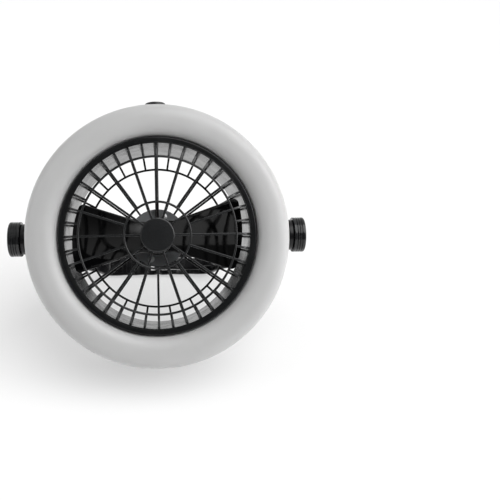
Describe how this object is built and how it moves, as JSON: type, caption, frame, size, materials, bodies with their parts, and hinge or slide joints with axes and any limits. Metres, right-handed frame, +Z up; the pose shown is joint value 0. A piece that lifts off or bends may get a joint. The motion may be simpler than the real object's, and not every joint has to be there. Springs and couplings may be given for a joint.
{
  "type": "camping fan with ring light",
  "caption": "Portable camping fan: a round black housing with domed grilles, a white ring light, a swinging strap handle that is also its stand, and a folding hook.",
  "frame": {"origin": "centre of the bounding box in X and Y, on the floor that the fan stands on, with its handle as the stand", "axes": "+X to the right as seen from the front, along the line through the two knobs; +Y to the back, where the handle's grip stands; +Z up. The fan's own axis is tipped 35 degrees up from -Y"},
  "size_m": [0.2224, 0.1686, 0.1852],
  "materials": {
    "housing_black": "glossy moulded black ABS",
    "grille_black": "glossy moulded black ABS",
    "strap_black": "semi-gloss moulded black plastic",
    "switch_black": "glossy moulded black plastic",
    "tray_black": "plain moulded black ABS",
    "diffuser_white": "satin translucent white diffuser",
    "reflector_white": "white moulded reflector",
    "board_green": "solder-masked glass-epoxy board",
    "led_resin": "clear resin with a yellow phosphor",
    "motor_can": "drawn zinc-plated steel can",
    "plate_gray": "stamped plate, painted dark gray",
    "screw_steel": "zinc-plated steel",
    "shaft_steel": "ground steel",
    "contact_nickel": "nickel-plated spring steel",
    "cell_wrap": "plain printed film over a steel can",
    "lead_red": "soft insulation",
    "washer_acetal": "black acetal"
  },
  "bodies": {
    "fan_housing": {"rear_cover": "housing_black", "front_housing": "housing_black", "air_duct": "housing_black", "left_knob_flange": "housing_black", "right_knob_flange": "housing_black", "rear_grille": "grille_black", "front_grille": "grille_black", "hub_cap": "grille_black", "motor_sleeve": "grille_black", "switch_collar": "switch_black", "switch_body": "switch_black", "battery_tray": "tray_black", "diffuser": "diffuser_white", "reflector": "reflector_white", "led_board": "board_green", "circuit_board": "board_green", "leds": "led_resin", "motor": "motor_can", "motor_plate": "plate_gray", "motor_screws": "screw_steel", "cover_screws": "screw_steel", "pivot_screws": "screw_steel", "battery_contacts": "contact_nickel", "battery_cells": "cell_wrap", "motor_leads": "lead_red", "friction_washers": "washer_acetal"},
    "rotor": {"motor_shaft": "shaft_steel", "fan_rotor": "grille_black"},
    "bail": {"handle": "strap_black", "left_knob_cap": "housing_black", "right_knob_cap": "housing_black", "hook_pin": "screw_steel"},
    "hook": {"hook": "strap_black"},
    "rocker": {"switch_rocker": "switch_black"},
    "door": {"battery_door": "housing_black"}
  },
  "joints": [
    {"name": "rotor_spin", "type": "hinge", "parent": "fan_housing", "child": "rotor", "pos_m": [0, 0.017, 0.07582], "axis": [0, -0.8192, 0.5736], "continuous": true},
    {"name": "handle_tilt", "type": "hinge", "parent": "fan_housing", "child": "bail", "pos_m": [0, -0.00184, 0.08901], "axis": [1, 0, 0], "range_deg": [-78, 101]},
    {"name": "hook_swing", "type": "hinge", "parent": "bail", "child": "hook", "pos_m": [0, 0.07477, 0.00938], "axis": [0, 0.7206, 0.6933], "range_deg": [0, 110]},
    {"name": "rocker_tip", "type": "hinge", "parent": "fan_housing", "child": "rocker", "pos_m": [0, 0.0447, 0.17117], "axis": [1, 0, 0], "range_deg": [-9, 9]},
    {"name": "door_slide", "type": "slide", "parent": "fan_housing", "child": "door", "axis": [-0.342, -0.539, -0.7698], "range_m": [0, 0.03]}
  ]
}
